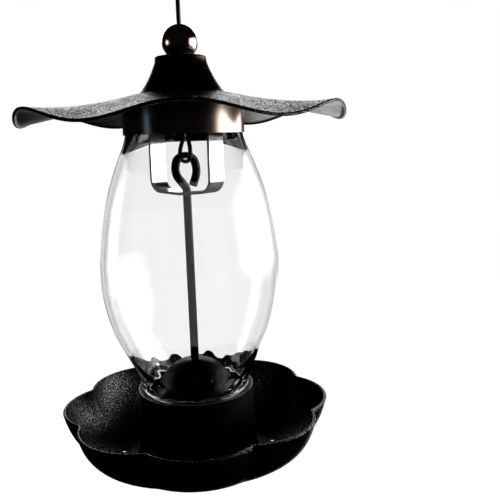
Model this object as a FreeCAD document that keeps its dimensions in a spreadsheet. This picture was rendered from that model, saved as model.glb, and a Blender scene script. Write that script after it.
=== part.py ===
import FreeCAD, Part
import Sketcher
import math
import os

# Hanging seed feeder: a glass jar between a wavy metal roof and a petal tray, hung from an
# S-shaped wire hook by a short looped cable. Millimetres, +Z up. Every height in SIZES is
# measured from the flat base of the tray. The model's origin is where the hook bears on a
# branch, so each sub-part is placed hang_height lower.

SIZES = {
    # S-shaped hook of round wire
    "hook_wire": 2.5,
    "hook_top_radius": 28.2,
    "hook_curl_radius": 20.5,
    "hook_curl_end_radius": 17.0,
    "hook_bend_radius": 5.0,
    "hook_tip_length": 14.0,
    "hook_mouth_turn": 95.0,
    "hook_bend_turn": 52.0,
    "hook_curl_end_turn": 140.0,
    "hook_curl_bend_radius": 4.0,
    "hook_curl_bend_turn": 84.0,
    "hook_centres": 88.5,
    "curl_height": 400.0,
    # cable, its loops and the two crimped ferrules
    "cable_radius": 1.6,
    "strand_gap": 3.4,
    "ferrule_radius": 2.8,
    "ferrule_length": 9.0,
    "lower_ferrule_low": 249.3,
    "upper_ferrule_low": 368.5,
    "loop_turn": -50.0,
    # ball on the roof
    "ball_radius": 12.7,
    "ball_height": 306.1,
    "ball_bore": 1.9,
    # grommet in the roof's top hole
    "grommet_seat": 9.5,
    "grommet_bore": 7.6,
    "grommet_groove": 10.0,
    "grommet_flange": 12.0,
    "grommet_low": 293.6,
    "grommet_top": 297.3,
    # bell, the raised middle of the roof
    "bell_top": 296.2,
    "bell_top_inner": 295.2,
    "bell_top_radius": 18.4,
    "bell_waist_radius": 21.4,
    "bell_waist": 286.2,
    "bell_hip_radius": 25.0,
    "bell_hip": 278.6,
    "bell_foot_radius": 31.0,
    "bell_foot": 272.9,
    "bell_flange": 35.0,
    "bell_flange_low": 271.9,
    "bell_edge": 272.1,
    "bell_slope_extra": 2.2,
    "bell_wall": 1.0,
    # wavy roof
    "roof_radius": 116.3,
    "roof_hole": 26.0,
    "roof_flat_radius": 36.0,
    "roof_middle": 271.9,
    "roof_rim": 256.6,
    "roof_wave": 5.0,
    "roof_sheet": 1.0,
    # collar under the roof
    "collar_outer": 43.6,
    "collar_inner": 42.8,
    "collar_low": 242.3,
    "collar_top": 268.1,
    # plate inside the collar
    "lid_hole": 22.0,
    "lid_low": 254.2,
    "lid_sheet": 1.0,
    # glass jar
    "jar_wall": 2.6,
    "jar_rim": 251.0,
    "jar_neck_from": 226.0,
    "jar_neck_extra": 3.0,
    "jar_foot": 52.0,
    "jar_foot_to": 84.0,
    "jar_foot_extra": 1.4,
    # U-shaped strap in the jar's neck
    "strap_width": 16.0,
    "strap_sheet": 2.0,
    "strap_leg": 27.4,
    "strap_low": 200.2,
    "strap_sag": 2.0,
    "strap_ear": 41.0,
    "strap_corner": 9.0,
    "strap_ear_bend": 3.0,
    "strap_sag_radius": 60.0,
    "strap_hole": 3.7,
    "strap_turn": -40.0,
    "rim_pad_length": 5.5,
    "rim_pad_height": 1.0,
    # centre rod with its eye
    "rod_radius": 3.1,
    "rod_low": 2.5,
    "rod_bend": 202.6,
    "rod_bend_radius": 6.6,
    "eye_half_width": 11.2,
    "eye_widest": 215.0,
    "eye_top_half": 6.8,
    "eye_top": 227.6,
    "eye_end": 6.2,
    "eye_end_height": 204.6,
    "eye_turn": 40.0,
    # base under the jar
    "gasket_outer": 42.2,
    "gasket_inner": 37.6,
    "gasket_height": 1.5,
    "base_top_inner": 37.6,
    "base_lip_inner": 42.6,
    "base_lip_outer": 43.8,
    "base_lip_top": 52.4,
    "base_shelf": 50.5,
    "base_shelf_low": 48.5,
    "base_wall_inner": 42.4,
    "base_foot_inner": 45.6,
    "base_foot_outer": 47.0,
    "base_flange": 53.0,
    "base_flange_top": 2.6,
    "base_flange_low": 1.3,
    "port_width": 20.0,
    "port_low": 7.0,
    "port_spring": 24.0,
    "port_count": 8,
    # dome that spreads the seed
    "cone_bore": 3.4,
    "cone_wall": 1.2,
    # petal tray
    "tray_petals": 8,
    "tray_tip": 101.0,
    "tray_notch": 91.5,
    "tray_rim": 39.5,
    "tray_floor_radius": 55.0,
    "tray_sheet": 1.3,
    "dimple_foot": 27.0,
    "dimple_head": 23.0,
    "dimple_top": 15.0,
    "dimple_under": 13.7,
    "drain_radius": 2.0,
    "drain_circle": 58.0,
    # washers and wing nut under the tray
    "washer_outer": 9.0,
    "washer_inner": 3.4,
    "washer_sheet": 1.2,
    "lock_washer_outer": 5.3,
    "lock_washer_sheet": 1.3,
    "lock_washer_gap": 0.8,
    "nut_bore": 3.15,
    "nut_radius": 5.4,
    "nut_low": 4.2,
    "nut_top": 11.0,
    "nut_wing_span": 12.5,
    "nut_wing_foot": 3.6,
    "nut_wing_sheet": 2.2,
    "nut_wing_top": 6.4,
    "nut_wing_low": 1.2,
}

# Outline of the jar's outside: height, radius.
JAR_OUTLINE = [(52.0, 40.4), (57.0, 40.8), (66.0, 43.4), (79.3, 49.6), (92.0, 55.8), (105.3, 60.8),
               (126.0, 65.2), (147.5, 66.1), (160.0, 65.0), (179.1, 62.3), (201.6, 57.2),
               (222.4, 49.6), (234.0, 44.6), (242.3, 42.2), (251.0, 41.4)]

# Outline of the seed dome's outside: radius, height.
DOME_OUTLINE = [(5.0, 74.0), (12.0, 72.0), (19.0, 67.5), (25.0, 60.5), (29.5, 51.0),
                (33.4, 37.0), (37.2, 20.0), (40.6, 1.3)]

# Route of the cable, each point (across the plane of its loop, height): the loop through the
# rod's eye with its tail, and the loop over the hook with its tail. None stands for strand_gap.
LOWER_ROUTE = [(None, 259.3), (None, 243.5), (6.3, 232.5), (5.4, 222.3), (-5.4, 222.3),
               (-6.1, 232.5), (0, 243.5)]
UPPER_ROUTE = [(0, 383.2), (-6.1, 394.2), (-5.4, 404.4), (5.4, 404.4), (6.3, 394.2),
               (None, 383.2), (None, 367.4)]

doc = FreeCAD.newDocument("BirdFeeder")
sheet = doc.addObject("Spreadsheet::Sheet", "Sizes")
SIZES["hook_span"] = SIZES["hook_centres"] + SIZES["hook_top_radius"] + SIZES["hook_curl_radius"]
SIZES["hang_height"] = SIZES["curl_height"] + SIZES["hook_span"] - SIZES["hook_wire"]
for row, (alias, value) in enumerate(SIZES.items(), start=1):
    sheet.set("A" + str(row), alias)
    sheet.set("B" + str(row), str(value))
    sheet.setAlias("B" + str(row), alias)
doc.recompute()

Z = FreeCAD.Vector(0, 0, 1)
subparts = []


def size(alias):
    """The value of one cell of the sheet."""
    return float(sheet.get(alias))


def hang(thing, turn=0.0, lift=0.0):
    """Put a finished sub-part in the model's frame, and list it."""
    height = lift - size("hang_height")
    thing.Placement = FreeCAD.Placement(FreeCAD.Vector(0, 0, height), FreeCAD.Rotation(Z, turn))
    subparts.append(thing)
    return thing


# ---------------------------------------------------------------- sketches and bodies


def new_body(name):
    body = doc.addObject("PartDesign::Body", name)
    body.Label = name
    return body


def sketch_on(body, name, role):
    """A new sketch on one of the body's own origin planes."""
    plane = [feature for feature in body.Origin.OriginFeatures if feature.Role == role][0]
    sketch = body.newObject("Sketcher::SketchObject", name)
    sketch.AttachmentSupport = [(plane, "")]
    sketch.MapMode = "FlatFace"
    return sketch


def bind(sketch, kind, geometry, vertex, alias):
    """Hold one coordinate of a vertex to a cell of the sheet."""
    sketch.addConstraint(Sketcher.Constraint(kind, -1, 1, geometry, vertex, size(alias)))
    index = sketch.ConstraintCount - 1
    sketch.setExpression("Constraints[" + str(index) + "]", "Sizes." + alias)


def draw_outline(sketch, corners):
    """A closed outline of straight lines; each corner is a pair of cell names, across and up."""
    count = len(corners)
    places = [FreeCAD.Vector(size(x), size(y), 0) for x, y in corners]
    for i in range(count):
        sketch.addGeometry(Part.LineSegment(places[i], places[(i + 1) % count]), False)
    for i in range(count):
        sketch.addConstraint(Sketcher.Constraint("Coincident", i, 2, (i + 1) % count, 1))
        bind(sketch, "DistanceX", i, 1, corners[i][0])
        bind(sketch, "DistanceY", i, 1, corners[i][1])


def turned(name, corners):
    """A body turned about the vertical axis."""
    body = new_body(name)
    sketch = sketch_on(body, name + "_outline", "XZ_Plane")
    draw_outline(sketch, corners)
    turn = body.newObject("PartDesign::Revolution", name + "_turn")
    turn.Profile = sketch
    turn.ReferenceAxis = (sketch, ["V_Axis"])
    turn.Angle = 360
    sketch.Visibility = False
    doc.recompute()
    return body


def primitive(kind, name, **cells):
    """A Part primitive with its sizes bound to cells."""
    thing = doc.addObject(kind, name)
    for prop, cell in cells.items():
        thing.setExpression(prop, "Sizes." + cell)
    return thing


def cut(name, base, tool):
    thing = doc.addObject("Part::Cut", name)
    thing.Base = base
    thing.Tool = tool
    thing.Label = name
    return thing


def feature(name, shape):
    """A sub-part whose shape is worked out with Part's own functions."""
    thing = doc.addObject("Part::Feature", name)
    thing.Label = name
    thing.Shape = shape
    return thing


def ring(name, outer, inner, height):
    """A flat ring lying on Z = 0."""
    disc = primitive("Part::Cylinder", name + "_disc", Radius=outer, Height=height)
    hole = primitive("Part::Cylinder", name + "_hole", Radius=inner, Height=height)
    return cut(name, disc, hole)


# ---------------------------------------------------------------- bent wires


def vector(x, y, z):
    return FreeCAD.Vector(x, y, z)


def corner_radius(before, corner, after):
    """The largest arc that leaves a tenth of the shorter run straight."""
    shorter = min((corner - before).Length, (after - corner).Length)
    half_turn = (corner - before).getAngle(after - corner) / 2
    return 0.45 * shorter / math.tan(half_turn)


def rounded_path(points, radii=None):
    """Straight runs through the points, joined by tangent arcs."""
    edges = []
    start = points[0]
    for i in range(1, len(points) - 1):
        before, corner, after = points[i - 1], points[i], points[i + 1]
        into = (corner - before).normalize()
        out = (after - corner).normalize()
        half_turn = into.getAngle(out) / 2
        radius = radii[i - 1] if radii else corner_radius(before, corner, after)
        reach = radius * math.tan(half_turn)
        inward = (out - into).normalize()
        middle = corner + inward * (radius / math.cos(half_turn) - radius)
        arc_start = corner - into * reach
        arc_end = corner + out * reach
        edges.append(Part.LineSegment(start, arc_start).toShape())
        edges.append(Part.Arc(arc_start, middle, arc_end).toShape())
        start = arc_end
    edges.append(Part.LineSegment(start, points[-1]).toShape())
    return Part.Wire(edges)


def round_bar(path, radius):
    """A round wire or cable along a path."""
    start = path.Edges[0]
    circle = Part.Circle(start.valueAt(start.FirstParameter),
                         start.tangentAt(start.FirstParameter), radius)
    bar = path.makePipeShell([Part.Wire(circle.toShape())], True, False)
    ratio = bar.Volume / (math.pi * radius ** 2 * path.Length)
    print("bar", round(path.Length, 1), "mm, volume ratio", round(ratio, 4))
    return bar


def walk(start, heading, steps):
    """Edges of a bend plan in the XZ plane: runs of a length, and arcs of (radius, turn)."""
    edges = []
    here = start
    for step in steps:
        ahead = vector(math.cos(heading), 0, math.sin(heading))
        if not isinstance(step, tuple):
            there = here + ahead * step
            edges.append(Part.LineSegment(here, there).toShape())
            here = there
            continue
        radius, turn = step[0], math.radians(step[1])
        side = 1 if turn > 0 else -1
        left = vector(-math.sin(heading), 0, math.cos(heading))
        centre = here + left * (side * radius)
        spot = {}
        for share in (0.5, 1.0):
            angle = heading - side * math.pi / 2 + turn * share
            spot[share] = centre + vector(math.cos(angle), 0, math.sin(angle)) * radius
        edges.append(Part.Arc(here, spot[0.5], spot[1.0]).toShape())
        here = spot[1.0]
        heading += turn
    return edges


def in_plane(points, turn):
    """Points given as (across, up), set in a vertical plane turned about Z."""
    across = vector(math.cos(math.radians(turn)), math.sin(math.radians(turn)), 0)
    return [across * u + vector(0, 0, up) for u, up in points]


# ---------------------------------------------------------------- hook, cable and ferrules


def s_hook():
    """One wire: open tip, large top bend, slanting back, and a curl that ends inside itself."""
    top_r, curl_r = size("hook_top_radius"), size("hook_curl_radius")
    centres = size("hook_centres")
    slant = math.asin((top_r + curl_r) / centres)
    back = math.sqrt(centres ** 2 - (top_r + curl_r) ** 2)
    top = vector(0, 0, size("curl_height") + size("hook_span"))
    bend, tip = size("hook_bend_radius"), size("hook_tip_length")
    left = walk(top, math.pi, [
        (top_r, size("hook_mouth_turn")), (bend, size("hook_bend_turn")), 1.2 * tip])
    right = walk(top, 0, [
        (top_r, -90 - math.degrees(slant)), back, (curl_r, 180 + math.degrees(slant)),
        (size("hook_curl_end_radius"), size("hook_curl_end_turn")),
        (size("hook_curl_bend_radius"), size("hook_curl_bend_turn")), tip])
    path = Part.Wire(Part.__sortEdges__(left + right))
    return hang(feature("s_hook", round_bar(path, size("hook_wire"))))


def cable_route():
    """Tail, lower loop through the rod's eye, main run, upper loop over the hook, tail."""
    gap = size("strand_gap")
    lower, upper = [[(gap if across is None else across, up) for across, up in route]
                    for route in (LOWER_ROUTE, UPPER_ROUTE)]
    return in_plane(lower, size("loop_turn")) + in_plane(upper, 90)


def hanging_cable():
    points = cable_route()
    for i in range(1, len(points) - 1):
        print("cable radius", i, round(corner_radius(*points[i - 1:i + 2]), 1))
    return hang(feature("hanging_cable", round_bar(rounded_path(points), size("cable_radius"))))


def ferrule(name, low, turn):
    """An oval sleeve crimped over two strands of the cable."""
    body = new_body(name)
    sketch = sketch_on(body, name + "_oval", "XY_Plane")
    gap, outer = size("strand_gap"), size("ferrule_radius")
    ends = (vector(0, 0, 0), vector(gap, 0, 0))
    sketch.addGeometry(Part.ArcOfCircle(Part.Circle(ends[0], Z, outer), math.pi / 2,
                                        3 * math.pi / 2), False)
    sketch.addGeometry(Part.ArcOfCircle(Part.Circle(ends[1], Z, outer), -math.pi / 2,
                                        math.pi / 2), False)
    for side in (1, -1):
        sketch.addGeometry(Part.LineSegment(vector(0, side * outer, 0),
                                            vector(gap, side * outer, 0)), False)
    for end in ends:
        sketch.addGeometry(Part.Circle(end, Z, size("cable_radius")), False)
    sketch.addConstraint(Sketcher.Constraint("Tangent", 0, 1, 2, 1))
    sketch.addConstraint(Sketcher.Constraint("Tangent", 0, 2, 3, 1))
    sketch.addConstraint(Sketcher.Constraint("Tangent", 1, 2, 2, 2))
    sketch.addConstraint(Sketcher.Constraint("Tangent", 1, 1, 3, 2))
    sketch.addConstraint(Sketcher.Constraint("Coincident", 0, 3, -1, 1))
    sketch.addConstraint(Sketcher.Constraint("PointOnObject", 1, 3, -1))
    sketch.addConstraint(Sketcher.Constraint("Coincident", 4, 3, 0, 3))
    sketch.addConstraint(Sketcher.Constraint("Coincident", 5, 3, 1, 3))
    for index, alias in ((0, "ferrule_radius"), (4, "cable_radius"), (5, "cable_radius")):
        sketch.addConstraint(Sketcher.Constraint("Radius", index, size(alias)))
        last = sketch.ConstraintCount - 1
        sketch.setExpression("Constraints[" + str(last) + "]", "Sizes." + alias)
    bind(sketch, "DistanceX", 1, 3, "strand_gap")
    pad = body.newObject("PartDesign::Pad", name + "_pad")
    pad.Profile = sketch
    pad.setExpression("Length", "Sizes.ferrule_length")
    doc.recompute()
    return hang(body, turn, size(low))


# ---------------------------------------------------------------- ball and roof


def ball_finial():
    ball = primitive("Part::Sphere", "ball_solid", Radius="ball_radius")
    bore = primitive("Part::Cylinder", "ball_bore_solid", Radius="ball_bore")
    bore.setExpression("Height", "Sizes.ball_radius * 3")
    bore.setExpression("Placement.Base.z", "-Sizes.ball_radius * 1.5")
    return hang(cut("ball_finial", ball, bore), 0, size("ball_height"))


def roof_grommet():
    return hang(turned("roof_grommet", [
        ("grommet_bore", "grommet_low"), ("grommet_flange", "grommet_low"),
        ("grommet_flange", "bell_top_inner"), ("grommet_groove", "bell_top_inner"),
        ("grommet_groove", "bell_top"), ("grommet_flange", "bell_top"),
        ("grommet_flange", "grommet_top"), ("grommet_seat", "grommet_top"),
        ("grommet_bore", "bell_top_inner")]))


def roof_bell():
    """A spun bell: flat top with a hole, concave sides, and a thin-edged flange on the roof."""
    wall = size("bell_wall")
    outside = [(size("bell_top_radius"), size("bell_top")),
               (size("bell_waist_radius"), size("bell_waist")),
               (size("bell_hip_radius"), size("bell_hip")),
               (size("bell_foot_radius"), size("bell_foot"))]
    inside = [(r - wall, z - (wall if i == 0 else 0.25)) for i, (r, z) in enumerate(outside)]
    inside[-1] = (size("bell_foot_radius") - size("bell_slope_extra"), size("bell_flange_low"))
    side = spline([vector(r, 0, z) for r, z in outside])
    back = spline([vector(r, 0, z) for r, z in inside])
    hole = size("grommet_groove")
    flange = size("bell_flange")
    runs = [side.toShape(), back.toShape()]
    loop = [inside[0], (hole, size("bell_top_inner")), (hole, size("bell_top")), outside[0]]
    foot = [outside[-1], (flange, size("bell_edge")), (flange, size("bell_flange_low")),
            inside[-1]]
    return hang(feature("roof_bell", revolve(runs + lines(loop) + lines(foot))))


def spline(points):
    curve = Part.BSplineCurve()
    curve.interpolate(points)
    return curve


def lines(outline):
    """Straight edges through (radius, height) pairs."""
    places = [vector(r, 0, z) for r, z in outline]
    return [Part.LineSegment(a, b).toShape() for a, b in zip(places, places[1:])]


def revolve(edges):
    wire = Part.Wire(Part.__sortEdges__(edges))
    return Part.Face(wire).revolve(vector(0, 0, 0), Z, 360)


def wave_height(radius, angle):
    """The roof's top surface: a flared slope with six waves that grow towards the rim."""
    flat, rim = size("roof_flat_radius"), size("roof_radius")
    share = max(0.0, (radius - flat) / (rim - flat))
    slope = (size("roof_middle") - size("roof_rim")) * (1 - share) ** 1.7
    return size("roof_rim") + slope - size("roof_wave") * share ** 1.2 * math.cos(6 * angle)


def patch(rows):
    """A smooth face through a grid of points."""
    surface = Part.BSplineSurface()
    surface.interpolate(rows)
    return surface.toShape()


def closed_shell(top, under):
    """A solid between two faces with the same corners."""
    faces = [top, under]
    for edge in top.Edges:
        ends = [edge.Vertexes[0].Point, edge.Vertexes[-1].Point]
        middle = edge.valueAt((edge.FirstParameter + edge.LastParameter) / 2)
        mate = min(under.Edges, key=lambda other: min_gap(other, middle))
        faces.append(Part.makeRuledSurface(edge, mate))
    skin = Part.makeCompound(faces)
    skin.sewShape()
    solid = Part.makeSolid(skin.Shells[0])
    if solid.Volume < 0:
        solid.reverse()
    return solid


def min_gap(edge, place):
    middle = edge.valueAt((edge.FirstParameter + edge.LastParameter) / 2)
    return (middle - place).Length


def roof():
    """The wavy sheet: six equal sectors from trough to trough, fused, on a flat centre ring."""
    sheet_t = size("roof_sheet")
    flat, rim = size("roof_flat_radius"), size("roof_radius")
    radii = [flat + (rim - flat) * i / 10 for i in range(11)]
    angles = [math.radians(60 * i / 12) for i in range(13)]
    grids = []
    for drop in (0.0, sheet_t):
        rows = [[vector(r * math.cos(a), r * math.sin(a), wave_height(r, a) - drop)
                 for a in angles] for r in radii]
        grids.append(patch(rows))
    sector = closed_shell(*grids)
    print("roof sector", sector.isValid(), round(sector.Volume, 1), "mm3")
    pieces = []
    for i in range(6):
        piece = sector.copy()
        piece.rotate(vector(0, 0, 0), Z, 60 * i)
        pieces.append(piece)
    middle = size("roof_middle") - sheet_t
    centre = Part.makeCylinder(flat, sheet_t, vector(0, 0, middle))
    centre = centre.cut(Part.makeCylinder(size("roof_hole"), sheet_t, vector(0, 0, middle)))
    whole = centre.multiFuse(pieces, 0.002)
    print("roof", whole.isValid(), len(whole.Solids), "solid(s)", round(whole.Volume, 1), "mm3",
          "of", round(centre.Volume + 6 * sector.Volume, 1))
    return hang(feature("roof", whole))


def roof_collar():
    """A round skirt under the roof, which hides the jar's rim."""
    return hang(turned("roof_collar", [
        ("collar_inner", "collar_low"), ("collar_outer", "collar_low"),
        ("collar_outer", "collar_top"), ("collar_inner", "collar_top")]))


def lid_plate():
    """A ring across the inside of the collar, which sits on the strap's ears."""
    return hang(ring("lid_plate", "collar_inner", "lid_hole", "lid_sheet"), 0, size("lid_low"))


# ---------------------------------------------------------------- jar and what clamps it


def jar_wall(height):
    """Thickness of the glass, which gathers towards the neck and the foot."""
    neck_from, foot_to = size("jar_neck_from"), size("jar_foot_to")
    neck = max(0.0, (height - neck_from) / (size("jar_rim") - neck_from))
    foot = max(0.0, (foot_to - height) / (foot_to - size("jar_foot")))
    extra = size("jar_neck_extra") * neck ** 1.5 + size("jar_foot_extra") * foot ** 1.5
    return size("jar_wall") + extra


def jar():
    """Egg-shaped glass, open at both ends."""
    outside = [vector(r, 0, z) for z, r in JAR_OUTLINE]
    inside = [vector(r - jar_wall(z), 0, z) for z, r in JAR_OUTLINE]
    edges = [spline(outside).toShape(), spline(inside).toShape()]
    for end in (0, -1):
        edges.append(Part.LineSegment(inside[end], outside[end]).toShape())
    return hang(feature("jar", revolve(edges)))


def strap_path():
    """Half of the strap's middle line, mirrored into the whole."""
    leg, ear = size("strap_leg"), size("strap_ear")
    ear_height = size("jar_rim") + size("rim_pad_height") + size("strap_sheet") / 2
    corner = size("strap_low") + size("strap_sheet") / 2
    half = [(ear, ear_height), (leg, ear_height), (leg, corner)]
    sag = [(0, corner - size("strap_sag"))]
    points = half + sag + [(-u, up) for u, up in reversed(half)]
    bend, ear_bend = size("strap_corner"), size("strap_ear_bend")
    radii = [ear_bend, bend, size("strap_sag_radius"), bend, ear_bend]
    return rounded_path([vector(u, 0, up) for u, up in points], radii)


def neck_bracket():
    """A flat strap bent into a U, with ears on the jar's rim and a hole for the rod."""
    path = strap_path()
    half, thick = size("strap_width") / 2, size("strap_sheet") / 2
    end = path.Edges[0].valueAt(path.Edges[0].FirstParameter)
    corners = [(-half, -thick), (half, -thick), (half, thick), (-half, thick), (-half, -thick)]
    section = Part.makePolygon([end + vector(0, y, z) for y, z in corners])
    strap = path.makePipeShell([section], True, False)
    depth = 6 * size("strap_sheet")
    hole = Part.makeCylinder(size("strap_hole"), depth,
                             vector(0, 0, size("strap_low") - depth / 2))
    return hang(feature("neck_bracket", strap.cut(hole)), size("strap_turn"))


def rim_pads():
    """Two rubber pads between the strap's ears and the glass."""
    length, height = size("rim_pad_length"), size("rim_pad_height")
    width = size("strap_width")
    outer = size("strap_ear")
    pads = [Part.makeBox(length, width, height, vector(x, -width / 2, size("jar_rim")))
            for x in (outer - length, -outer)]
    return hang(feature("rim_pads", Part.makeCompound(pads)), size("strap_turn"))


def center_rod():
    """A rod whose upper end is bent into a drop-shaped eye."""
    wide, middle, top = size("eye_half_width"), size("eye_widest"), size("eye_top")
    crown = size("eye_top_half")
    points = [(0, size("rod_low")), (0, size("rod_bend")), (-wide, middle), (-crown, top),
              (crown, top), (wide, middle), (size("eye_end"), size("eye_end_height"))]
    corners = in_plane(points, 0)
    radii = [corner_radius(*corners[i - 1:i + 2]) for i in range(1, len(corners) - 1)]
    radii[0] = size("rod_bend_radius")
    path = rounded_path(corners, radii)
    return hang(feature("center_rod", round_bar(path, size("rod_radius"))), size("eye_turn"))


def jar_gasket():
    return hang(ring("jar_gasket", "gasket_outer", "gasket_inner", "gasket_height"), 0,
                size("base_shelf"))


def port_base():
    """The pedestal under the jar: a shelf with a lip, a wall with arched ports, a flange."""
    body = turned("port_base", [
        ("base_top_inner", "base_shelf_low"), ("base_top_inner", "base_shelf"),
        ("base_lip_inner", "base_shelf"), ("base_lip_inner", "base_lip_top"),
        ("base_lip_outer", "base_lip_top"), ("base_lip_outer", "base_shelf_low"),
        ("base_foot_outer", "base_flange_top"), ("base_flange", "base_flange_top"),
        ("base_flange", "base_flange_low"), ("base_foot_inner", "base_flange_low"),
        ("base_foot_inner", "base_flange_top"), ("base_wall_inner", "base_shelf_low")])
    sketch = sketch_on(body, "port_arch", "XZ_Plane")
    half, low, spring = size("port_width") / 2, size("port_low"), size("port_spring")
    corners = [vector(-half, spring, 0), vector(-half, low, 0), vector(half, low, 0),
               vector(half, spring, 0)]
    for a, b in zip(corners, corners[1:]):
        sketch.addGeometry(Part.LineSegment(a, b), False)
    sketch.addGeometry(Part.ArcOfCircle(Part.Circle(vector(0, spring, 0), Z, half), 0,
                                        math.pi), False)
    for i, j in ((0, 1), (1, 2)):
        sketch.addConstraint(Sketcher.Constraint("Coincident", i, 2, j, 1))
    sketch.addConstraint(Sketcher.Constraint("Tangent", 3, 1, 2, 2))
    sketch.addConstraint(Sketcher.Constraint("Tangent", 3, 2, 0, 1))
    sketch.addConstraint(Sketcher.Constraint("Horizontal", 1))
    sketch.addConstraint(Sketcher.Constraint("PointOnObject", 3, 3, -2))
    bind(sketch, "DistanceY", 3, 3, "port_spring")
    bind(sketch, "DistanceY", 1, 1, "port_low")
    sketch.addConstraint(Sketcher.Constraint("DistanceX", 1, 1, 1, 2, size("port_width")))
    last = sketch.ConstraintCount - 1
    sketch.setExpression("Constraints[" + str(last) + "]", "Sizes.port_width")
    whole = body.Shape.Volume
    pocket = body.newObject("PartDesign::Pocket", "port_cut")
    pocket.Profile = sketch
    pocket.setExpression("Length", "Sizes.base_flange + 5")
    pocket.Reversed = False
    doc.recompute()
    print("port cut removes", round(whole - body.Shape.Volume, 1))
    pattern = body.newObject("PartDesign::PolarPattern", "port_pattern")
    pattern.Originals = [pocket]
    axis = [thing for thing in body.Origin.OriginFeatures if thing.Role == "Z_Axis"][0]
    pattern.Axis = (axis, [""])
    pattern.Angle = 360
    pattern.setExpression("Occurrences", "Sizes.port_count")
    body.Tip = pattern
    doc.recompute()
    print("all ports remove", round(whole - body.Shape.Volume, 1))
    return hang(body)


def seed_cone():
    """A domed baffle round the rod that spreads the seed to the ports."""
    wall, bore = size("cone_wall"), size("cone_bore")
    outside = spline([vector(r, 0, z) for r, z in DOME_OUTLINE])
    low = DOME_OUTLINE[-1]
    under = [(DOME_OUTLINE[0][0] - 0.6, DOME_OUTLINE[0][1] - 1.4)]
    under += [(r - wall, z - wall * 0.6) for r, z in DOME_OUTLINE[1:-1]]
    under += [(low[0] - wall, low[1])]
    inside = spline([vector(r, 0, z) for r, z in under])
    top = [DOME_OUTLINE[0], (bore, DOME_OUTLINE[0][1]), (bore, under[0][1]), under[0]]
    foot = [low, under[-1]]
    return hang(feature("seed_cone", revolve([outside.toShape(), inside.toShape()]
                                             + lines(top) + lines(foot))))


# ---------------------------------------------------------------- tray


def petal_ring(radius, lobe, height):
    """A closed outline of equal arcs that meet at notches; lobe is how far an arc bulges."""
    count = int(size("tray_petals"))
    arcs = []
    for i in range(count):
        middle = 2 * math.pi * i / count
        half = math.pi / count
        places = [(radius - lobe, middle - half), (radius, middle), (radius - lobe, middle + half)]
        spots = [vector(r * math.cos(a), r * math.sin(a), height) for r, a in places]
        arcs.append(Part.Arc(*spots).toShape())
    return Part.Wire(arcs)


def bowl(shrink, floor, rim, steps=6):
    """The petal bowl's outside, or its inside when shrunk by the sheet."""
    base = size("tray_floor_radius") - shrink
    reach = size("tray_tip") - shrink - base
    lobe = size("tray_tip") - size("tray_notch")
    end = math.radians(78)
    rings = []
    for i in range(steps + 1):
        share = i / steps
        angle = end * share
        radius = base + reach * math.sin(angle) / math.sin(end)
        height = floor + (rim - floor) * (1 - math.cos(angle)) / (1 - math.cos(end))
        rings.append(petal_ring(radius, max(lobe * share ** 1.3, 0.6), height))
    return Part.makeLoft(rings, True, False)


def tray():
    """Eight petals round a flat floor with a raised middle, pierced for the rod and drains."""
    sheet_t = size("tray_sheet")
    shell = bowl(0, 0, size("tray_rim")).cut(bowl(sheet_t, sheet_t, size("tray_rim")))
    foot, head = size("dimple_foot"), size("dimple_head")
    top, under = size("dimple_top"), size("dimple_under")
    opening = Part.makeCylinder(foot, 3 * sheet_t, vector(0, 0, -sheet_t))
    raised = revolve(lines([(foot - sheet_t, 0), (foot, 0), (foot, sheet_t), (head, top),
                            (size("cone_bore"), top), (size("cone_bore"), under),
                            (head - sheet_t, under), (foot - sheet_t, 0)]))
    whole = shell.cut(opening).fuse(raised)
    count = int(size("tray_petals"))
    for i in range(count):
        angle = 2 * math.pi * i / count
        spot = vector(math.cos(angle), math.sin(angle), 0) * size("drain_circle")
        drain = Part.makeCylinder(size("drain_radius"), 6 * sheet_t, spot - Z * sheet_t)
        whole = whole.cut(drain)
    return hang(feature("tray", whole))


# ---------------------------------------------------------------- washers and wing nut


def base_washer():
    low = size("dimple_under") - size("washer_sheet")
    return hang(ring("base_washer", "washer_outer", "washer_inner", "washer_sheet"), 0, low)


def lock_washer():
    """A split spring ring."""
    whole = ring("lock_ring", "lock_washer_outer", "washer_inner", "lock_washer_sheet")
    slot = primitive("Part::Box", "lock_slot", Length="lock_washer_outer",
                     Height="lock_washer_sheet")
    slot.setExpression("Width", "Sizes.lock_washer_gap")
    low = size("dimple_under") - size("washer_sheet") - size("lock_washer_sheet")
    return hang(cut("lock_washer", whole, slot), 0, low)


def wing_nut():
    """A turned hub with two upright wings."""
    body = turned("wing_nut", [
        ("nut_bore", "nut_low"), ("nut_radius", "nut_low"), ("nut_radius", "nut_top"),
        ("nut_bore", "nut_top")])
    sketch = sketch_on(body, "wings", "XZ_Plane")
    foot, span = size("nut_wing_foot"), size("nut_wing_span")
    high, low = size("nut_top") - 1.5, size("nut_wing_low")
    for side in (1, -1):
        places = [vector(side * foot, high, 0), vector(side * (span - 3), high - 2.0, 0),
                  vector(side * span, low + 2.0, 0), vector(side * (span - 4), low, 0),
                  vector(side * foot, size("nut_wing_top"), 0)]
        first = sketch.GeometryCount
        for i in range(5):
            sketch.addGeometry(Part.LineSegment(places[i], places[(i + 1) % 5]), False)
        for i in range(5):
            sketch.addConstraint(Sketcher.Constraint(
                "Coincident", first + i, 2, first + (i + 1) % 5, 1))
            sketch.addConstraint(Sketcher.Constraint("Block", first + i))
    pad = body.newObject("PartDesign::Pad", "wing_pad")
    pad.Profile = sketch
    pad.setExpression("Length", "Sizes.nut_wing_sheet")
    pad.Midplane = True
    doc.recompute()
    return hang(body)


# ---------------------------------------------------------------- the assembly

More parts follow.
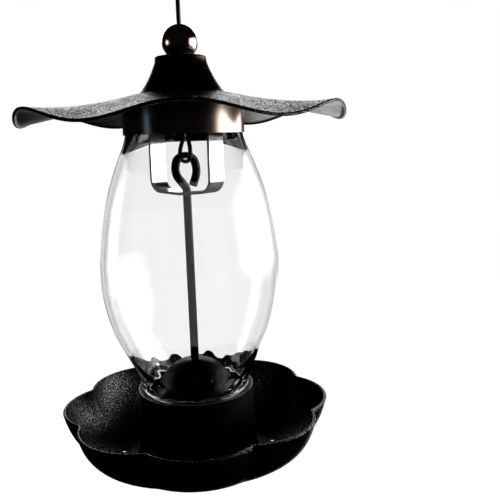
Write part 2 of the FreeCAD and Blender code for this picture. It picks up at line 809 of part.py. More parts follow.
s_hook()
hanging_cable()
ferrule("lower_ferrule", "lower_ferrule_low", size("loop_turn"))
ferrule("upper_ferrule", "upper_ferrule_low", 90)
ball_finial()
roof_grommet()
roof_bell()
roof()
roof_collar()
lid_plate()
jar()
neck_bracket()
rim_pads()
center_rod()
jar_gasket()
port_base()
seed_cone()
tray()
base_washer()
lock_washer()
wing_nut()
doc.recompute()

for thing in doc.Objects:
    if {"Invalid", "Error"} & set(thing.State):
        raise RuntimeError(thing.Label + " did not build: " + str(thing.State))
os.makedirs("parts", exist_ok=True)
for part in subparts:
    if part.Shape.isNull() or not part.Shape.isValid():
        raise RuntimeError(part.Label + " has no valid shape")
for part in subparts:
    box = part.Shape.BoundBox
    print(part.Label, len(part.Shape.Solids), "solid(s)", round(part.Shape.Volume, 1), "mm3",
          "z", round(box.ZMin, 1), round(box.ZMax, 1))
    part.Shape.exportStep("parts/" + part.Label + ".step")
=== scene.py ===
import math

import bmesh
import bpy
from mathutils import Matrix, Vector


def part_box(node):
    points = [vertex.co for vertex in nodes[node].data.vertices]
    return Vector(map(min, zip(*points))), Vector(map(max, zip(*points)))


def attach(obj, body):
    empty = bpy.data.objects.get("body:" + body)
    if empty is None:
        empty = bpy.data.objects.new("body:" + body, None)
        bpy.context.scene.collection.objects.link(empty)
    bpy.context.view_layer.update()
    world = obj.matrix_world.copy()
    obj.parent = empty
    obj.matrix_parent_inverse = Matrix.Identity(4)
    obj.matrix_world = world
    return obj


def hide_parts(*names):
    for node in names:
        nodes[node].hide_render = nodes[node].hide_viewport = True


# A hanging bird feeder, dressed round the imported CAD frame. The frame is in metres and its
# origin is where the S-shaped hook bears on a branch. Shapes here are written in millimetres
# above the tray's flat base, as the object would be measured on a bench.

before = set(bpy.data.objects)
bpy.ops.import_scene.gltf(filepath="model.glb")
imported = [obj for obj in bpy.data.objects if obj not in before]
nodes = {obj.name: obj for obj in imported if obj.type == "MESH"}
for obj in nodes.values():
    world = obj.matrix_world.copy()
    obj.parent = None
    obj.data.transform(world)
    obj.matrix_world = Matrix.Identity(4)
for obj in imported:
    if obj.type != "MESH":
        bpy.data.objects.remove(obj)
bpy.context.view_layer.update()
scene = bpy.context.scene

MM = 0.001
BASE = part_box("tray")[0].z


def place(x, y, height):
    """A point in the frame, from millimetres across, back and above the tray's base."""
    return Vector((x * MM, y * MM, BASE + height * MM))


# ---------------------------------------------------------------- camera

EYE_DISTANCE = 480.0
EYE_HEIGHT = 237.0
EYE_PITCH = math.radians(9.66)
EYE_YAW = math.radians(5.37)
EYE_ROLL = math.radians(1.86)
LENS = 46.8
SENSOR = 36.0
NEAR_CLIP = 0.01


def add_camera():
    """Looks along +Y, a little down and to the right, with a slight roll."""
    ahead = Vector((math.sin(EYE_YAW) * math.cos(EYE_PITCH),
                    math.cos(EYE_YAW) * math.cos(EYE_PITCH), -math.sin(EYE_PITCH)))
    level = Vector((math.cos(EYE_YAW), -math.sin(EYE_YAW), 0.0))
    upright = level.cross(ahead)
    right = level * math.cos(EYE_ROLL) - upright * math.sin(EYE_ROLL)
    up = level * math.sin(EYE_ROLL) + upright * math.cos(EYE_ROLL)
    axes = Matrix((right, up, -ahead)).transposed()
    data = bpy.data.cameras.new("camera")
    data.lens = LENS
    data.sensor_width = SENSOR
    data.clip_start = NEAR_CLIP
    camera = bpy.data.objects.new("camera", data)
    camera.matrix_world = Matrix.Translation(place(0, -EYE_DISTANCE, EYE_HEIGHT)) @ axes.to_4x4()
    scene.collection.objects.link(camera)
    scene.camera = camera


# ---------------------------------------------------------------- node helpers

ONE_WALL_DEPTH = 2.5    # a ray that has crossed both faces of one wall has a depth of 2


class Nodes:
    """A short way to write a material's node tree."""

    def __init__(self, tree):
        self.tree = tree

    def add(self, kind, **inputs):
        node = self.tree.nodes.new("ShaderNode" + kind)
        for name, value in inputs.items():
            key = name.replace("_", " ")
            if hasattr(node, name) and key not in node.inputs:
                setattr(node, name, value)
            elif isinstance(value, bpy.types.NodeSocket):
                self.tree.links.new(value, node.inputs[key])
            else:
                node.inputs[key].default_value = value
        return node

    def link(self, out, into):
        self.tree.links.new(out, into)

    def ramp(self, value, stops):
        node = self.add("ValToRGB")
        self.link(value, node.inputs[0])
        bands = node.color_ramp.elements
        while len(bands) < len(stops):
            bands.new(0.5)
        for band, (position, shade) in zip(bands, stops):
            band.position = position
            band.color = (shade, shade, shade, 1) if isinstance(shade, float) else (*shade, 1)
        return node.outputs[0]

    def sums(self, operation, a, b):
        """One Math node on two sockets or numbers."""
        node = self.add("Math")
        node.operation = operation
        for socket, value in zip(node.inputs, (a, b)):
            if isinstance(value, bpy.types.NodeSocket):
                self.link(value, socket)
            else:
                socket.default_value = value
        return node.outputs[0]

    def blend_over(self, value, span, low, high):
        """A smooth step from low to high as the value crosses the span."""
        node = self.add("MapRange")
        node.interpolation_type = "SMOOTHSTEP"
        self.link(value, node.inputs["Value"])
        for key, number in zip(("From Min", "From Max", "To Min", "To Max"), (*span, low, high)):
            node.inputs[key].default_value = number
        return node.outputs["Result"]

    def first_sight(self):
        """1 for what the eye sees directly, through glass or by a glance inside one wall of it,
        and 0 for anything else reflected."""
        path = self.add("LightPath").outputs
        through = path["Is Transmission Ray"]
        seen = self.sums("MAXIMUM", path["Is Camera Ray"], through)
        bounced = self.sums("ADD", path["Glossy Depth"], path["Diffuse Depth"])
        straight = self.sums("GREATER_THAN", self.sums("SUBTRACT", seen, bounced), 0.5)
        one_wall = self.sums("LESS_THAN", path["Transmission Depth"], ONE_WALL_DEPTH)
        return self.sums("MAXIMUM", straight, self.sums("MULTIPLY", through, one_wall))

    def noise(self, scale, detail=2.0, where=None):
        node = self.add("TexNoise", Scale=scale, Detail=detail)
        if where is not None:
            self.link(where, node.inputs["Vector"])
        return node.outputs[0]


def material(name, color=(0.8, 0.8, 0.8), **sockets):
    """A Principled material; returns it with its shader node and the tree's helper."""
    made = bpy.data.materials.new(name)
    made.use_nodes = True
    shader = made.node_tree.nodes["Principled BSDF"]
    shader.inputs["Base Color"].default_value = (*color, 1.0)
    for key, value in sockets.items():
        shader.inputs[key.replace("_", " ")].default_value = value
    return made, shader, Nodes(made.node_tree)


def bump(tree, shader, height, distance, strength=1.0):
    node = tree.add("Bump", Height=height, Distance=distance, Strength=strength)
    tree.link(node.outputs[0], shader.inputs["Normal"])


def spots(tree):
    """The piece's own place in the frame, in metres, for textures that need no unwrapping."""
    return tree.add("TexCoord").outputs["Object"]


# ---------------------------------------------------------------- materials

# Share of its colour kept on the collar's inside: painted shade.
INSIDE_PAINTED_SHADE = 0.02


def textured_coat(name, color, grain_mm, depth_mm, roughness, shine):
    """Powder coat with a fine wrinkle. Its grains glint and the rest is dull; shine is the
    specular level of the two, dull first."""
    made, shader, tree = material(name, color)
    where = spots(tree)
    cells = tree.add("TexVoronoi", Vector=where, Scale=1000.0 / grain_mm)
    cells.feature = "SMOOTH_F1"
    fine = tree.noise(2600.0 / grain_mm, 3.0, where)
    height = tree.sums("ADD", tree.sums("MULTIPLY", cells.outputs["Distance"], 0.7), fine)
    bump(tree, shader, height, depth_mm * MM)
    grain = tree.noise(1600.0 / grain_mm, 2.0, where)
    tree.link(tree.blend_over(grain, (0.45, 0.60), *shine), shader.inputs["Specular IOR Level"])
    wear = tree.ramp(tree.noise(45.0, 4.0, where), [(0.3, 0.0), (0.7, 0.1)])
    dull = tree.blend_over(grain, (0.40, 0.55), roughness + 0.36, roughness)
    tree.link(tree.sums("ADD", dull, wear), shader.inputs["Roughness"])
    return made


def bronze(name, roughness, dark, light, painted_shade_within_mm=0.0):
    """Dark bronze: black in a dark room, with a brown edge to what it catches of the light.
    Nearer the axis than that radius its colour is darkened to nearly black: painted shade on the
    collar's inside."""
    made, shader, tree = material(name, Metallic=1.0)
    where = spots(tree)
    cloud = tree.noise(60.0, 5.0, where)
    flat = tree.add("VectorMath", operation="MULTIPLY")
    tree.link(where, flat.inputs[0])
    flat.inputs[1].default_value = (1.0, 1.0, 0.0)
    reach = tree.add("VectorMath", operation="LENGTH")
    tree.link(flat.outputs[0], reach.inputs[0])
    outside = tree.sums("GREATER_THAN", reach.outputs["Value"], painted_shade_within_mm * MM)
    tint = tree.add("VectorMath", operation="SCALE")
    tree.link(tree.ramp(cloud, [(0.3, dark), (0.7, light)]), tint.inputs[0])
    tree.link(tree.sums("MAXIMUM", outside, INSIDE_PAINTED_SHADE), tint.inputs["Scale"])
    tree.link(tint.outputs[0], shader.inputs["Base Color"])
    tree.link(tree.ramp(cloud, [(0.25, roughness - 0.04), (0.75, roughness + 0.06)]),
              shader.inputs["Roughness"])
    bump(tree, shader, tree.noise(2400.0, 2.0, where), 0.00002)
    return made


def gloss_black(name, roughness, color=(0.0015, 0.0014, 0.0014), level=0.4):
    """Smooth black paint with a faint smear in its gloss; level is its specular level."""
    made, shader, tree = material(name, color, Specular_IOR_Level=level)
    where = spots(tree)
    smear = tree.noise(180.0, 4.0, where)
    tree.link(tree.ramp(smear, [(0.3, roughness), (0.75, roughness + 0.08)]),
              shader.inputs["Roughness"])
    bump(tree, shader, tree.noise(900.0, 2.0, where), 0.00001)
    return made


def zinc(name):
    """Bright plated strap with brushing along its height."""
    made, shader, tree = material(name, (0.82, 0.83, 0.85), Metallic=1.0, Roughness=0.28)
    where = spots(tree)
    stretched = tree.add("Mapping", Vector=where)
    stretched.inputs["Scale"].default_value = (1.0, 1.0, 0.05)
    lines = tree.noise(2500.0, 3.0, stretched.outputs[0])
    tree.link(tree.ramp(lines, [(0.3, 0.1), (0.7, 0.2)]), shader.inputs["Roughness"])
    bump(tree, shader, lines, 0.00001)
    return made


def clear_glass(name):
    """Blown glass with a slow waviness."""
    made, shader, tree = material(name, (0.985, 0.986, 0.983), Roughness=0.0, IOR=1.5,
                                  Transmission_Weight=1.0)
    where = spots(tree)
    bump(tree, shader, tree.noise(22.0, 1.0, where), 0.0002, 0.5)
    return made


def rubber(name):
    """Dull black rubber."""
    made, shader, tree = material(name, (0.012, 0.012, 0.012), Roughness=0.7)
    bump(tree, shader, tree.noise(1500.0, 3.0, spots(tree)), 0.00005)
    return made


# ---------------------------------------------------------------- mesh helpers


MERGE_DISTANCE = 1e-7


def new_piece(name, verts, faces, look, body, replaced, sharp):
    """A mesh piece that rides on a body and stands for CAD nodes. Edges sharper than the angle,
    in degrees, stay crisp."""
    mesh = bpy.data.meshes.new(name)
    mesh.from_pydata([tuple(v) for v in verts], [], faces)
    tidy = bmesh.new()
    tidy.from_mesh(mesh)
    bmesh.ops.remove_doubles(tidy, verts=tidy.verts, dist=MERGE_DISTANCE)
    bmesh.ops.recalc_face_normals(tidy, faces=tidy.faces)
    tidy.to_mesh(mesh)
    tidy.free()
    mesh.shade_smooth()
    mesh.set_sharp_from_angle(angle=math.radians(sharp))
    mesh.materials.append(look)
    piece = bpy.data.objects.new(name, mesh)
    scene.collection.objects.link(piece)
    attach(piece, body)
    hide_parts(*replaced)
    return piece


def ring_faces(rows, columns):
    """Quads over a grid that closes up along its rows and along its columns."""
    faces = []
    for i in range(rows):
        k = (i + 1) % rows
        for j in range(columns):
            n = (j + 1) % columns
            faces.append((i * columns + j, i * columns + n, k * columns + n, k * columns + j))
    return faces


def lathe(outline, segments, shape=None):
    """A closed outline of (radius, height) turned about the axis; shape may bend each point."""
    verts = []
    for r, z in outline:
        for j in range(segments):
            angle = 2 * math.pi * j / segments
            reach, height = shape(r, z, angle) if shape else (r, z)
            verts.append(place(reach * math.cos(angle), reach * math.sin(angle), height))
    return verts, ring_faces(len(outline), segments)


def curve_through(points, steps):
    """A smooth line through the points, with that many pieces between each two."""
    line = []
    count = len(points)
    for i in range(count - 1):
        a = points[max(i - 1, 0)]
        b, c = points[i], points[i + 1]
        d = points[min(i + 2, count - 1)]
        for k in range(steps):
            t = k / steps
            line.append(tuple(
                0.5 * (2 * q + (s - p) * t + (2 * p - 5 * q + 4 * s - u) * t ** 2
                       + (3 * q - p - 3 * s + u) * t ** 3)
                for p, q, s, u in zip(a, b, c, d)))
    line.append(tuple(points[-1]))
    return line


def arc(center, radius, start, end, steps):
    """Points on an arc, in degrees."""
    points = []
    for k in range(steps + 1):
        angle = math.radians(start + (end - start) * k / steps)
        points.append((center[0] + radius * math.cos(angle), center[1] + radius * math.sin(angle)))
    return points


POLE = 1e-6    # a ring that scales below this is a dome's end point


def tube(points, radius, sides, dome, ripple):
    """A bar along points in the frame, in metres, with domed ends of that many rings; ripple
    shapes its section."""
    count = len(points)
    run = [0.0]
    for a, b in zip(points, points[1:]):
        run.append(run[-1] + (b - a).length)
    tangents = []
    for i in range(count):
        tangents.append((points[min(i + 1, count - 1)] - points[max(i - 1, 0)]).normalized())
    side = tangents[0].orthogonal().normalized()
    frames = []
    for i in range(count):
        side = (side - tangents[i] * side.dot(tangents[i])).normalized()
        frames.append((points[i], tangents[i], side.copy()))
    stations = []
    for k in range(dome, 0, -1):
        angle = math.pi / 2 * k / dome
        stations.append((0, -math.sin(angle), math.cos(angle)))
    stations += [(i, 0.0, 1.0) for i in range(count)]
    for k in range(1, dome + 1):
        angle = math.pi / 2 * k / dome
        stations.append((count - 1, math.sin(angle), math.cos(angle)))
    rings = []
    for i, shift, scale in stations:
        point, tangent, across = frames[i]
        up = tangent.cross(across)
        middle = point + tangent * (shift * radius)
        if scale < POLE:
            rings.append([middle])
            continue
        ring = []
        for j in range(sides):
            angle = 2 * math.pi * j / sides
            reach = radius * scale * ripple(run[i], angle)
            ring.append(middle + (across * math.cos(angle) + up * math.sin(angle)) * reach)
        rings.append(ring)
    verts, starts = [], []
    for ring in rings:
        starts.append(len(verts))
        verts += ring
    faces = []
    for i in range(len(rings) - 1):
        a, b = starts[i], starts[i + 1]
        for j in range(sides):
            n = (j + 1) % sides
            if len(rings[i]) == 1:
                faces.append((a, b + n, b + j))
            elif len(rings[i + 1]) == 1:
                faces.append((a + j, a + n, b))
            else:
                faces.append((a + j, a + n, b + n, b + j))
    return verts, faces


# ---------------------------------------------------------------- cable

CABLE_DIAMETER = 0.0032
STRAND_GAP = 3.4
LOOP_TURN = math.radians(-50.0)
LAY = 0.014
STRANDS = 6
STRAND_DEPTH = 0.09

# Routes of the cable's two loops: (across the plane of the loop, height).
LOWER_ROUTE = [(STRAND_GAP, 259.3), (STRAND_GAP, 243.5), (6.3, 232.5), (5.4, 222.3), (-5.4, 222.3),
               (-6.1, 232.5), (0, 243.5), (0, 262.5)]
UPPER_ROUTE = [(0, 364.0), (0, 383.2), (-6.1, 394.2), (-5.4, 404.4), (5.4, 404.4), (6.3, 394.2),
               (STRAND_GAP, 383.2), (STRAND_GAP, 367.4)]


def cable_line():
    """The cable's centreline: tail, loop through the rod's eye, main run, loop over the hook."""
    points = [place(u * math.cos(LOOP_TURN), u * math.sin(LOOP_TURN), up) for u, up in LOWER_ROUTE]
    points += [place(0, u, up) for u, up in UPPER_ROUTE]
    data = bpy.data.curves.new("cable_route", "CURVE")
    data.dimensions = "3D"
    spline = data.splines.new("NURBS")
    spline.points.add(len(points) - 1)
    for point, where in zip(spline.points, points):
        point.co = (*where, 1.0)
    spline.order_u = 3
    spline.use_endpoint_u = True
    spline.resolution_u = 40
    route = bpy.data.objects.new("cable_route", data)
    line = bpy.data.meshes.new_from_object(route)
    centres = [v.co.copy() for v in line.vertices]
    bpy.data.objects.remove(route)
    bpy.data.meshes.remove(line)
    return centres


def hanging_cable(look):
    """Coated wire rope: six strands show as shallow lobes that turn with the lay."""
    line = cable_line()
    verts, faces = tube(line, CABLE_DIAMETER / 2, 36, 5, strand_lobes)
    piece = new_piece("cable", verts, faces, look, "feeder", ["hanging_cable"], 60)


def strand_lobes(distance, angle):
    """How far out the surface lies at a distance along the cable and an angle round it."""
    turn = angle + 2 * math.pi * distance / LAY
    return 1.0 - STRAND_DEPTH * (1.0 - abs(math.cos(STRANDS / 2 * turn)))


# ---------------------------------------------------------------- roof

ROOF_FLAT = 33.0
ROOF_RIM = 116.3
ROOF_HOLE = 26.0
ROOF_HEM = 1.1
ROOF_SHEET = 1.0
ROOF_RIM_HEIGHT = 256.6
ROOF_RISE = 14.2
ROOF_FLARE = 1.5
WAVES = 6
WAVE_HEIGHT = 5.0
WAVE_GROWTH = 2.4
UNDERSIDE = -0.5


def roof_top(radius, angle):
    """Height of the roof's top surface: a flared slope with six waves that grow outwards."""
    share = min(1.0, max(0.0, (radius - ROOF_FLAT) / (ROOF_RIM - ROOF_FLAT)))
    slope = ROOF_RISE * (1 - share) ** ROOF_FLARE
    wave = WAVE_HEIGHT * share ** WAVE_GROWTH * math.cos(WAVES * angle)
    return ROOF_RIM_HEIGHT + slope - wave


def roof(look, lining):
    """The wavy sheet with a rolled hem at its rim, and a smoother coat under it."""
    centre = ROOF_RIM - ROOF_HEM
    steps = 72
    top = [(ROOF_HOLE + (centre - ROOF_HOLE) * i / steps, 0.0) for i in range(steps)]
    hem = arc((centre, -ROOF_HEM), ROOF_HEM, 90, -165, 14)
    under = [(r, -ROOF_SHEET) for r, _ in reversed(top) if r < centre - 2 * ROOF_HEM]
    verts, faces = lathe(top + hem + under, 432,
                         lambda r, drop, angle: (r, roof_top(r, angle) + drop))
    piece = new_piece("wavy_roof", verts, faces, look, "roof_unit", ["roof"], 50)
    piece.data.materials.append(lining)
    for face in piece.data.polygons:
        if face.normal.z < UNDERSIDE:
            face.material_index = 1


BELL_SIDE = [(18.4, 295.4), (19.2, 291.6), (21.7, 285.8), (25.4, 279.0), (29.3, 273.9),
             (32.4, 271.1), (33.6, 270.2)]
BELL_EDGE = 0.8
BELL_HOLE = 10.0
BELL_TOP = 296.2
BELL_SHEET = 1.0
BELL_DOWN = 0.6
FOOT_EDGE = 0.1


def bell(look):
    """The spun bell, whose foot runs out thin on the roof."""
    steps = 8
    side = curve_through(BELL_SIDE, steps)
    top_r, top_z = side[0]
    foot_r, foot_z = side[-1]
    edge = arc((top_r - BELL_EDGE, top_z), BELL_EDGE, 90, 0, 6)
    foot = (foot_r - BELL_SHEET, foot_z - FOOT_EDGE)
    inside = [(r - BELL_SHEET, z - BELL_DOWN) for r, z in reversed(side[:-steps])]
    loop = [(BELL_HOLE, BELL_TOP)] + edge + side[1:] + [foot] + inside
    verts, faces = lathe(loop + [(BELL_HOLE, BELL_TOP - BELL_SHEET)], 192)
    new_piece("spun_bell", verts, faces, look, "roof_unit", ["roof_bell"], 40)


# ---------------------------------------------------------------- jar

JAR_FOOT = 52.0
JAR_RIM = 251.0
JAR_WALL = 2.6
JAR_EDGE = 1.2
NECK_FROM = 226.0
NECK_EXTRA = 3.0
FOOT_TO = 84.0
FOOT_EXTRA = 1.4
RIPPLE_TO = 88.0
RIPPLE = 0.4
RIPPLE_LEVEL = 1.6

# Outline of the jar's outside: radius, height.
JAR_OUTLINE = [(40.4, JAR_FOOT), (40.8, 57.0), (43.4, 66.0), (49.6, 79.3), (55.8, 92.0),
               (60.8, 105.3), (65.2, 126.0), (66.1, 147.5), (65.0, 160.0), (62.3, 179.1),
               (57.2, 201.6), (49.6, 222.4), (44.6, 234.0), (42.2, 242.3), (41.4, JAR_RIM)]


def jar_wall(height):
    """Wall thickness: the glass gathers towards its neck and its foot."""
    neck = max(0.0, (height - NECK_FROM) / (JAR_RIM - NECK_FROM))
    foot = max(0.0, (FOOT_TO - height) / (FOOT_TO - JAR_FOOT))
    return JAR_WALL + NECK_EXTRA * neck ** 1.5 + FOOT_EXTRA * foot ** 1.5


def foot_ripple(height, angle):
    """How far the inner surface swells inwards, where the glass gathers unevenly."""
    foot = max(0.0, (RIPPLE_TO - height) / (RIPPLE_TO - JAR_FOOT))
    wave = math.sin(9 * angle + 0.35 * height) + 0.6 * math.sin(16 * angle - 0.5 * height)
    return RIPPLE * foot * (RIPPLE_LEVEL + wave)


def jar(look):
    """Blown glass, open at both ends, with rounded rims."""
    outside = curve_through(JAR_OUTLINE, 7)
    low, high = JAR_FOOT + JAR_EDGE, JAR_RIM - JAR_EDGE
    wall = [(r, z) for r, z in outside if low < z < high]
    inner = [(r - jar_wall(z), z) for r, z in reversed(wall)]
    inside = {z: r for r, z in inner}
    top = rounded_end(outside[-1][0], high, jar_wall(JAR_RIM), 1)
    bottom = rounded_end(outside[0][0], low, jar_wall(JAR_FOOT), -1)
    verts, faces = lathe(wall + top + inner + bottom[::-1], 288,
                         lambda r, z, angle: (r - foot_ripple(z, angle), z)
                         if inside.get(z) == r else (r, z))
    return new_piece("glass_jar", verts, faces, look, "feeder", ["jar"], 80)


def rounded_end(radius, height, thick, side):
    """The end of the wall, from its outside to its inside, with both corners rounded. Side is 1
    at the rim and -1 at the foot."""
    points = arc((radius - JAR_EDGE, height), JAR_EDGE, 0, 90, 6)
    points += arc((radius - thick + JAR_EDGE, height), JAR_EDGE, 90, 180, 6)
    return [(r, height + side * (z - height)) for r, z in points]


# ---------------------------------------------------------------- tray

PETALS = 8
TRAY_SHEET = 1.3
TRAY_RIM = 39.5
TRAY_BEAD = 1.15
TRAY_FLOOR = 55.0
TRAY_TIP = 101.0
TRAY_LOBE = 9.5
LEAST_LOBE = 0.6
TRAY_SHARP = 42
WALL_TURN = math.radians(78)
NOTCH_ROUNDING = 0.012
DRAIN_CIRCLE = 58.0
DRAIN_RADIUS = 2.0

# The tray's raised middle, (radius, height): its underside going out, its top coming in.
MIDDLE_UNDER = [(2.9, 13.7), (20.5, 13.7), (21.9, 13.3), (22.7, 12.0), (25.2, 1.4), (26.3, 0.3),
                (27.6, 0.0), (40.0, 0.0)]
MIDDLE_TOP = [(40.0, 1.3), (28.6, 1.3), (27.0, 1.8), (26.3, 3.2), (23.9, 12.6), (23.2, 14.3),
              (21.8, 15.0), (2.9, 15.0)]


def petal_reach(tip, lobe, angle):
    """Distance from the axis to an outline of eight arcs whose notches are a little rounded."""
    half = math.pi / PETALS
    away = abs((angle + half) % (2 * half) - half)
    away = half - math.hypot(half - away, NOTCH_ROUNDING)
    notch = tip - lobe
    centre = (tip ** 2 - notch ** 2) / (2 * (tip - notch * math.cos(half)))
    return centre * math.cos(away) + math.sqrt((tip - centre) ** 2 - (centre * math.sin(away)) ** 2)


def tray_wall(share, shrink):
    """One level of the bowl's wall: radius of the petal tips, lobe and height."""
    base = TRAY_FLOOR - shrink
    turn = WALL_TURN * share
    tip = base + (TRAY_TIP - shrink - base) * math.sin(turn) / math.sin(WALL_TURN)
    rise = (1 - math.cos(turn)) / (1 - math.cos(WALL_TURN))
    lobe = max(TRAY_LOBE * share ** 1.3, LEAST_LOBE)
    return tip, lobe, shrink + (TRAY_RIM - shrink) * rise


def tray(look):
    """Pressed petal bowl with a beaded rim, a raised middle and drain holes."""
    columns = PETALS * 54
    steps = 40
    rows = [(r, 0.0, z, 0.0) for r, z in MIDDLE_UNDER]
    rows += [(*tray_wall(i / steps, 0.0), 0.0) for i in range(steps)]
    tip, lobe, _ = tray_wall(1.0, 0.0)
    for across, up in arc((-TRAY_BEAD, -TRAY_BEAD * 0.6), TRAY_BEAD, -40, 220, 14):
        rows.append((tip, lobe, TRAY_RIM + up, across))
    rows += [(*tray_wall(i / steps, TRAY_SHEET), 0.0) for i in reversed(range(steps))]
    rows += [(r, 0.0, z, 0.0) for r, z in MIDDLE_TOP]
    verts = []
    for tip, lobe, height, across in rows:
        for j in range(columns):
            angle = 2 * math.pi * j / columns
            reach = (petal_reach(tip, lobe, angle) if lobe else tip) + across
            verts.append(place(reach * math.cos(angle), reach * math.sin(angle), height))
    faces = ring_faces(len(rows), columns)
    piece = new_piece("petal_tray", verts, faces, look, "feeder", ["tray"], TRAY_SHARP)
    drill(piece, [(DRAIN_CIRCLE, 2 * math.pi * i / PETALS) for i in range(PETALS)], DRAIN_RADIUS)
    piece.data.set_sharp_from_angle(angle=math.radians(TRAY_SHARP))


def drill(piece, centres, radius):
    """Round holes through the piece near its base, each at a distance and angle from the axis."""
    cutter = bmesh.new()
    for reach, angle in centres:
        where = place(reach * math.cos(angle), reach * math.sin(angle), 1.0)
        bmesh.ops.create_cone(cutter, cap_ends=True, segments=32, radius1=radius * MM,
                              radius2=radius * MM, depth=0.02, matrix=Matrix.Translation(where))
    tool = bpy.data.objects.new("drills", bpy.data.meshes.new("drills"))
    cutter.to_mesh(tool.data)
    cutter.free()
    scene.collection.objects.link(tool)
    holes = piece.modifiers.new("drains", "BOOLEAN")
    holes.operation = "DIFFERENCE"
    holes.object = tool
    holes.solver = "EXACT"
    ready = piece.evaluated_get(bpy.context.evaluated_depsgraph_get())
    drilled = bpy.data.meshes.new_from_object(ready)
    piece.modifiers.clear()
    piece.data = drilled
    bpy.data.objects.remove(tool)


# ---------------------------------------------------------------- dressing the CAD nodes


def dress(name, look):
    """Give a CAD node a better material; its mesh stays as it is."""
    mesh = nodes[name].data
    mesh.materials.clear()
    mesh.materials.append(look)


# ---------------------------------------------------------------- light and floor

AIM_HEIGHT = 200.0
LIGHT_DISTANCE = 1.2
FLOOR_HEIGHT = -220.0
FLOOR_REACH = 4000.0

# Brightness of what reflections see, and where each part fades in or out. A pair is a span of
# one coordinate of the direction looked in: X to the right, Y straight back, Z up.
ROOM_WALLS = 0.004
ROOM_FLOOR = 0.12
ROOM_FLOOR_TOP = (-0.35, -0.05)
BACKDROP_EDGE = (0.84, 0.95)
BACKDROP_LOW = 0.9
LOW_BOTTOM = (-0.32, -0.12)
LOW_TOP = (-0.05, 0.02)
BACKDROP_HIGH = 4.0
HIGH_BOTTOM = (0.08, 0.24)
HIGH_TOP = (0.40, 0.55)
PATCH = 2.5
PATCH_LEFT = (0.04, 0.14)
PATCH_FRONT = (0.70, 0.88)
PATCH_TOP = (-0.30, -0.18)


def softbox(name, azimuth, elevation, width, height, power, color, fade=0.5):
    """A rectangular light aimed at the jar, which fades towards its edges. Azimuth 0 is the
    camera's side, 90 is +X."""
    a, e = math.radians(azimuth), math.radians(elevation)
    away = Vector((math.sin(a) * math.cos(e), -math.cos(a) * math.cos(e), math.sin(e)))
    data = bpy.data.lights.new(name, "AREA")
    data.shape = "RECTANGLE"
    data.size = width
    data.size_y = height
    data.energy = power
    data.color = color
    data.use_nodes = True
    tree = Nodes(data.node_tree)
    spot = tree.add("SeparateXYZ", Vector=tree.add("NewGeometry").outputs["Parametric"])
    shares = []
    for along in (spot.outputs["X"], spot.outputs["Y"]):
        edge = tree.sums("MINIMUM", along, tree.sums("SUBTRACT", 1.0, along))
        shares.append(tree.blend_over(edge, (0.0, fade), 0.0, 1.0))
    tree.link(tree.sums("MULTIPLY", *shares), data.node_tree.nodes["Emission"].inputs["Strength"])
    light = bpy.data.objects.new(name, data)
    light.location = place(0, 0, AIM_HEIGHT) + away * LIGHT_DISTANCE
    light.rotation_mode = "QUATERNION"
    light.rotation_quaternion = (-away).to_track_quat("-Z", "Y")
    light.visible_camera = False
    scene.collection.objects.link(light)
    return light


def light_only(light, piece):
    """Let a light reach this piece and nothing else."""
    lit = bpy.data.collections.new(light.name + "_lit")
    lit.objects.link(piece)
    light.light_linking.receiver_collection = lit


def surroundings():
    """A white room for the eye and through the glass. Reflections see a bright backdrop behind
    the feeder, a patch low on its right, a dim floor, and dark walls elsewhere."""
    world = bpy.data.worlds.new("studio")
    scene.world = world
    world.use_nodes = True
    tree = Nodes(world.node_tree)
    background = world.node_tree.nodes["Background"]
    background.inputs["Color"].default_value = (1.0, 1.0, 1.0, 1.0)
    heading = tree.add("SeparateXYZ", Vector=tree.add("TexCoord").outputs["Generated"])
    behind = tree.blend_over(heading.outputs["Y"], BACKDROP_EDGE, 0.0, 1.0)
    up = heading.outputs["Z"]
    high = tree.sums("MULTIPLY", tree.blend_over(up, HIGH_BOTTOM, 0.0, BACKDROP_HIGH),
                     tree.blend_over(up, HIGH_TOP, 1.0, 0.0))
    low = tree.sums("MULTIPLY", tree.blend_over(up, LOW_BOTTOM, 0.0, BACKDROP_LOW),
                    tree.blend_over(up, LOW_TOP, 1.0, 0.0))
    backdrop = tree.sums("ADD", high, low)
    backdrop = tree.sums("ADD", backdrop, tree.blend_over(up, ROOM_FLOOR_TOP, ROOM_FLOOR, 0.0))
    glossy = tree.sums("ADD", tree.sums("MULTIPLY", behind, backdrop), ROOM_WALLS)
    patch = tree.sums("MULTIPLY", tree.blend_over(heading.outputs["X"], PATCH_LEFT, 0.0, 1.0),
                      tree.blend_over(heading.outputs["Y"], PATCH_FRONT, 0.0, 1.0))
    patch = tree.sums("MULTIPLY", patch, tree.blend_over(up, PATCH_TOP, PATCH, 0.0))
    glossy = tree.sums("ADD", glossy, patch)
    direct = tree.first_sight()
    unseen = tree.sums("MULTIPLY", tree.sums("SUBTRACT", 1.0, direct), glossy)
    tree.link(tree.sums("ADD", direct, unseen), background.inputs["Strength"])


def floor():
    """A pale sweep well below the hanging feeder."""
    mesh = bpy.data.meshes.new("floor")
    signs = [(-1, -1), (1, -1), (1, 1), (-1, 1)]
    corners = [place(x * FLOOR_REACH, y * FLOOR_REACH, FLOOR_HEIGHT) for x, y in signs]
    mesh.from_pydata([tuple(corner) for corner in corners], [], [(0, 1, 2, 3)])
    look, shader, tree = material("pale_floor", (0.1, 0.1, 0.1), Roughness=1.0)
    shader.inputs["Emission Color"].default_value = (1.0, 1.0, 1.0, 1.0)
    tree.link(tree.first_sight(), shader.inputs["Emission Strength"])
    mesh.materials.append(look)
    ground = bpy.data.objects.new("floor", mesh)
    ground.visible_glossy = False
    ground.visible_diffuse = False
    scene.collection.objects.link(ground)


# ---------------------------------------------------------------- the scene

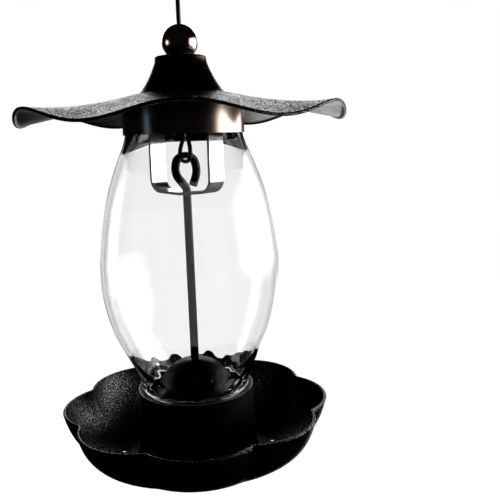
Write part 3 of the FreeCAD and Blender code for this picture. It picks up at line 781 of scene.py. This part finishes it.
add_camera()
scene.view_settings.view_transform = "Standard"
surroundings()
floor()
softbox("key_right", 100, 4, 2.2, 1.0, 32.0, (1.0, 0.985, 0.97), 0.32)
softbox("glow_left", -70, 1, 0.34, 0.5, 0.22, (0.42, 0.70, 1.0))

roof_coat = textured_coat("roof_coat", (0.0015, 0.0015, 0.0015), 2.3, 0.42, 0.24, (0.12, 1.0))
tray_coat = textured_coat("tray_coat", (0.001, 0.001, 0.001), 1.6, 0.22, 0.17, (0.05, 1.0))
# The bell's bronze is a darkened copy of the collar's and ball's: painted shade that keeps its
# reflections near black.
bell_bronze = bronze("bell_bronze", 0.19, (0.06, 0.036, 0.03), (0.09, 0.055, 0.045))
# Within 43.2 mm of the axis the collar's inside is darkened as painted shade.
collar_bronze = bronze("collar_bronze", 0.16, (0.50, 0.38, 0.32), (0.60, 0.47, 0.40), 43.2)
cable_coat = gloss_black("cable_coat", 0.24)
ball_gloss = bronze("ball_bronze", 0.07, (0.50, 0.37, 0.31), (0.60, 0.47, 0.40))
rod_black = gloss_black("rod_black", 0.08, level=0.15)
base_black = gloss_black("base_black", 0.34, (0.0006, 0.0006, 0.0006), 0.1)
hook_coat = textured_coat("hook_coat", (0.002, 0.002, 0.002), 0.6, 0.03, 0.30, (0.3, 0.6))
strap_zinc = zinc("strap_zinc")
crimp = gloss_black("crimp_black", 0.3, (0.006, 0.006, 0.006))
seal = rubber("black_rubber")

hanging_cable(cable_coat)
roof(roof_coat, gloss_black("roof_lining", 0.3))
bell(bell_bronze)
glass = jar(clear_glass("clear_glass"))
tray(tray_coat)
for look, names in (
        (hook_coat, ["s_hook"]),
        (ball_gloss, ["ball_finial"]),
        (collar_bronze, ["roof_collar"]),
        (strap_zinc, ["neck_bracket"]),
        (rod_black, ["center_rod"]),
        (base_black, ["port_base", "seed_cone"]),
        (seal, ["roof_grommet", "rim_pads", "jar_gasket"]),
        (crimp, ["lower_ferrule", "upper_ferrule", "lid_plate", "base_washer", "lock_washer",
                 "wing_nut"])):
    for name in names:
        dress(name, look)

light_only(softbox("ball_light", -88, 5, 0.7, 0.6, 5.0, (1.0, 0.95, 0.90)), nodes["ball_finial"])
light_only(softbox("glass_light", -113, 2, 0.75, 1.2, 10.0, (1.0, 0.98, 0.96)), glass)
